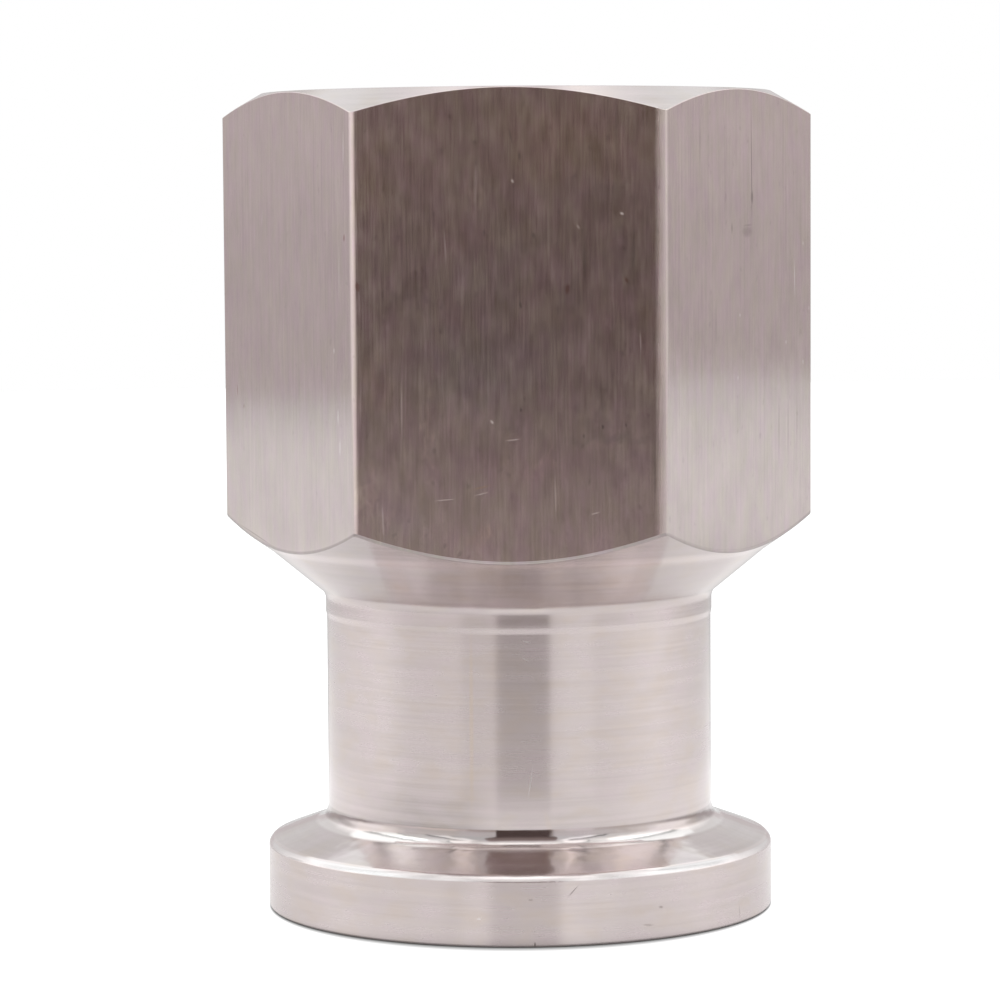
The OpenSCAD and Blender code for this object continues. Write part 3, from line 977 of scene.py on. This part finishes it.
def on_flat(angle):
    n = Vector((math.cos(d2r(angle)), math.sin(d2r(angle)), 0))
    return lambda p: p.z > 17 and n.dot(p) > APOTHEM - 0.2


for material in (
    turned("steel_turned", lambda p: RIM_H - 0.3 <= p.z < 17),
    turned("steel_rim", lambda p: p.z < RIM_H - 0.1),
    drawn("steel_drawn", lambda p: False, 0.55, 0.0),
    drawn("steel_front", on_flat(270), 1.0, 31.0, 0.16, True),
    drawn("steel_left", on_flat(210), 0.55, 62.0),
    drawn("steel_right", on_flat(330), 0.7, 93.0),
    faced(),
    bored(),
):
    mesh.materials.append(material)

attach(adapter, "root")
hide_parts("adapter_body")

# ---------------------------------------------------------------------------
# Camera at the photograph's place
# ---------------------------------------------------------------------------
CAM_D, CAM_H, PITCH_DOWN, YAW, ROLL, TURN = 194.429, 35.496, 0.07835, -0.00465, -0.00638, 0.0299
right = Vector((math.cos(YAW), -math.sin(YAW), 0))
ahead = Vector((math.sin(YAW), math.cos(YAW), 0))
forward = ahead * math.cos(PITCH_DOWN) - Vector((0, 0, 1)) * math.sin(PITCH_DOWN)
down = -(ahead * math.sin(PITCH_DOWN) + Vector((0, 0, 1)) * math.cos(PITCH_DOWN))
ex = right * math.cos(ROLL) - down * math.sin(ROLL)
ey = -(right * math.sin(ROLL) + down * math.cos(ROLL))
turn = Matrix.Rotation(TURN, 3, "Z")
place = turn @ Vector((0, -CAM_D, CAM_H)) * MM
basis = Matrix((turn @ ex, turn @ ey, turn @ -forward)).transposed()
cam_data = bpy.data.cameras.new("camera")
cam_data.sensor_fit = "HORIZONTAL"
cam_data.sensor_width = 36
cam_data.lens = 140.383
cam_data.clip_start = 0.005
cam_data.clip_end = 20
cam = bpy.data.objects.new("camera", cam_data)
cam.matrix_world = Matrix.Translation(place) @ basis.to_4x4()
bpy.context.scene.collection.objects.link(cam)
bpy.context.scene.camera = cam

# ---------------------------------------------------------------------------
# Stage: a round white table that is lit from inside, and a tent of soft light
# with its opening behind the camera
# ---------------------------------------------------------------------------
TABLE_R, TABLE_X, TABLE_FRONT = 536.0, 50.0, 110.0
# Brightness of the table's near ring by the angle round from the camera
NEAR = [
    (-180, 0.4), (-164, 0.45), (-152, 0.84), (-110, 0.86), (-95, 0.78), (-78, 0.62), (-60, 0.42), (-32, 0.42), (-20, 0.60), (-14, 0.64), (-11, 0.65), (15, 0.65),
    (21, 0.63), (30, 0.66), (50, 0.72), (70, 0.86), (90, 0.88), (110, 0.88), (152, 0.84), (164, 0.45), (180, 0.4),
]


def table():
    edge = []
    for i in range(256):
        a = 2 * math.pi * i / 256
        x, y = TABLE_R * math.sin(a), -TABLE_R * math.cos(a)
        reach = TABLE_FRONT / max(abs(math.cos(a)), 1e-6)
        if math.cos(a) > 0 and reach < TABLE_R:
            x, y = reach * math.sin(a), -TABLE_FRONT
        edge.append(((x + TABLE_X) * MM, y * MM, 0))
    me = bpy.data.meshes.new("table")
    me.from_pydata(edge, [], [list(range(len(edge)))])
    m = bpy.data.materials.new("table")
    m.use_nodes = True
    w = Web(m.node_tree)
    b = m.node_tree.nodes["Principled BSDF"]
    b.inputs["Base Color"].default_value = (0.25, 0.25, 0.25, 1)
    b.inputs["Roughness"].default_value = 1.0
    b.inputs["Specular IOR Level"].default_value = 0.0
    x, y, z = w.split(w.scale(w.node("ShaderNodeTexCoord").outputs["Object"], (1000, 1000, 0)))
    r = w.math("POWER", w.add(w.mul(x, x), w.mul(y, y)), 0.5)
    b.inputs["Emission Color"].default_value = (1, 1, 1, 1)
    seen = w.node("ShaderNodeLightPath").outputs["Is Camera Ray"]
    # Seen in the metal it is brighter and darker by turns, as the lamps over it are
    angle = w.mul(w.math("ARCTAN2", w.add(w.mul(x, math.cos(TURN)), w.mul(y, math.sin(TURN))),
                         w.sub(w.mul(x, math.sin(TURN)), w.mul(y, math.cos(TURN)))), 180 / math.pi)
    near = w.stops(angle, -180, 180, [(v, c) for v, c in NEAR])
    far = w.stops(angle, -180, 180, [
        (-180, 0.3), (-150, 0.35), (-120, 0.85), (-90, 0.85), (-70, 0.55), (-45, 0.3), (-10, 0.5), (20, 0.75), (60, 0.85),
        (90, 0.6), (120, 0.3), (150, 0.25), (180, 0.3),
    ])
    at_foot = w.sum(0.76, w.mul(w.window(angle, -16, 16, 4), 0.18))
    glow = w.mix(w.smooth(r, 32, 40), at_foot, near)
    glow = w.mix(w.smooth(r, 105, 140), glow, far)
    glow = w.mix(w.smooth(r, 175, 225), glow, (0.62, 0.62, 0.62))
    fall = w.mul(w.smooth(r, 330, 515), w.smooth(x, -50, 50, 0.34, 0.20))
    glow = w.mul(w.split(glow)[0], w.sub(1.0, fall))
    glow = w.add(w.mul(seen, w.sub(0.95, glow)), glow)
    # Painted contact shadow: the table's glow is cut under the part, and the dark runs out softly in front of it
    front = w.math("MAXIMUM", w.mul(w.math("DIVIDE", y, r), -1.0), 0.0)
    reach = w.add(w.mul(front, front, 1.15), 0.12)
    past = w.math("DIVIDE", w.sub(r, FLANGE_R - 0.06), reach)
    shade = w.mul(w.smooth(past, -0.2, 1.0), 1.0)
    w.put(b.inputs["Emission Strength"], w.mul(glow, shade))
    m.cycles.emission_sampling = "NONE"
    me.materials.append(m)
    ob = bpy.data.objects.new("table", me)
    bpy.context.scene.collection.objects.link(ob)


table()


def tent():
    world = bpy.data.worlds.new("tent")
    world.use_nodes = True
    w = Web(world.node_tree)
    back = world.node_tree.nodes["Background"]
    d = w.node("ShaderNodeTexCoord").outputs["Generated"]
    dx, dy, dz = w.split(d)
    ct, st = math.cos(TURN), math.sin(TURN)
    across = w.add(w.mul(dx, ct), w.mul(dy, st))
    towards = w.sub(w.mul(dx, st), w.mul(dy, ct))
    az = w.mul(w.math("ARCTAN2", across, towards), 180 / math.pi)
    el = w.mul(w.math("ARCSINE", dz), 180 / math.pi)
    # Walls of the tent low down, half way up and high up, by the angle round from the camera
    low = w.stops(az, -180, 180, [
        (-180, (0.61, 0.565, 0.57)), (-106, (0.61, 0.57, 0.575)), (-88, (1.10, 1.07, 1.07)), (-62, (1.20, 1.14, 1.13)),
        (-36, (1.15, 1.08, 1.06)), (-31, (0.72, 0.66, 0.62)), (-8, (0.60, 0.54, 0.51)), (16, (0.83, 0.78, 0.76)),
        (23, (1.02, 0.99, 0.98)), (30, (1.16, 1.14, 1.14)), (42, (1.12, 1.10, 1.10)), (47, (0.88, 0.84, 0.83)), (60, (0.86, 0.82, 0.81)),
        (86, (0.98, 0.96, 0.95)), (106, (0.61, 0.57, 0.57)), (180, (0.61, 0.565, 0.57)),
    ])
    half = w.stops(az, -180, 180, [
        (-180, (1.12, 1.15, 1.16)), (-177, (1.12, 1.15, 1.16)), (-173, 0.79), (-152, 0.79), (-132, 1.2), (-112, 1.75),
        (-93, 1.7), (-72, 1.05), (-20, 0.95), (25, 1.0), (60, 1.0), (83, 1.3), (93, 1.7), (112, 1.75), (132, 1.2),
        (152, 0.79), (173, 0.79), (177, (1.12, 1.15, 1.16)), (180, (1.12, 1.15, 1.16)),
    ])
    lean = w.mul(w.math("SIGN", az), w.sub(w.math("MAXIMUM", w.math("MINIMUM", el, 52.0), 34.0), 43.0), 0.6)
    high = w.stops(w.add(az, lean), -180, 180, [
        (-180, 0.95), (-164, 0.95), (-156, 1.3), (-118, 1.35), (-114, 0.65), (-105, 0.65), (-101, (2.0, 2.12, 2.12)), (-84, (2.0, 2.12, 2.12)),
        (-81, 0.6), (-77, 1.2), (-60, 1.2), (-58, 0.4), (-54, 0.4), (-52, 1.9), (-44, 1.7), (-40, 0.95),
        (26, 1.1), (37, 1.15), (40, 2.1), (46, 2.1), (48, 0.3), (52, 0.3), (55, 1.3), (74, 1.3),
        (78, 1.85), (108, 1.85), (111, 0.5), (118, 0.5), (125, 1.15), (156, 1.3), (164, 0.95), (180, 0.95),
    ])
    high = w.tint(high, (0.985, 1.035, 1.04))
    low = w.tint(low, w.stops(el, -5, 3, [(-3.5, 0.97), (-0.8, 0.97), (0.6, 1.07), (3, 1.07)]))
    sky = w.mix(w.smooth(el, 3, 12), low, half)
    sky = w.mix(w.smooth(el, 30, 35), sky, high)
    tilt = w.mul(w.math("SIGN", az), w.sub(w.math("MAXIMUM", w.math("MINIMUM", el, 70.0), 54.0), 58.0), -1.5)
    crown = w.stops(w.add(az, tilt), -180, 180, [
        (-180, 1.8), (-130, 1.8), (-116, 1.0), (-102, 1.0), (-98, 1.2), (-81, 1.2), (-78, 0.85), (-69, 0.85), (-67, 0.5), (-64, 0.5),
        (-62, 1.35), (-45, 1.35), (-36, 0.9), (-24, 1.0), (24, 1.0), (31, 1.0), (37, 1.5), (56, 1.5), (58, 0.5), (61, 0.5), (63, 0.9),
        (76, 0.9), (80, 1.15), (102, 1.15), (110, 0.95), (130, 2.1), (180, 2.1),
    ])
    sky = w.mix(w.smooth(el, 53, 60), sky, crown)
    sky = w.mix(w.mul(w.smooth(el, 55, 60), w.smooth(w.math("ABSOLUTE", az), 163, 170)), sky, (0.84, 0.76, 0.80))
    sky = w.mix(w.smooth(el, 69, 76), sky, (1.75, 1.75, 1.75))
    # The opening behind the camera: narrow below, wider above
    grow = w.smooth(el, 30, 44)
    from_left = w.add(az, w.add(w.mul(grow, 12.0), w.smooth(el, -7, -5.8, 0.0, 1.0)))
    from_right = w.sub(az, w.mul(grow, 6.0))
    opening = w.mul(w.smooth(from_left, -14, -11), w.smooth(from_right, 16.5, 19.5, 1.0, 0.0), w.smooth(el, 55, 61, 1.0, 0.0))
    inside = w.stops(el, -90, 90, [
        (-90, (0.52, 0.46, 0.45)), (-8, (0.47, 0.41, 0.40)), (-5.6, (0.32, 0.265, 0.254)), (-2.5, (0.105, 0.07, 0.065)),
        (-0.5, (0.105, 0.068, 0.06)), (1.4, (0.14, 0.095, 0.08)), (8, (0.14, 0.105, 0.10)), (32, (0.13, 0.095, 0.09)), (42, (0.37, 0.305, 0.29)), (60, (0.45, 0.385, 0.37)),
    ])
    sky = w.mix(opening, sky, inside)
    seen = w.node("ShaderNodeLightPath").outputs["Is Camera Ray"]
    w.put(back.inputs["Color"], w.mix(seen, sky, (1.0, 1.0, 1.0)))
    back.inputs["Strength"].default_value = 1.0
    world.cycles.sampling_method = "NONE"
    bpy.context.scene.world = world


tent()
bpy.context.scene.view_settings.view_transform = "Standard"
bpy.context.scene.cycles.use_denoising = True
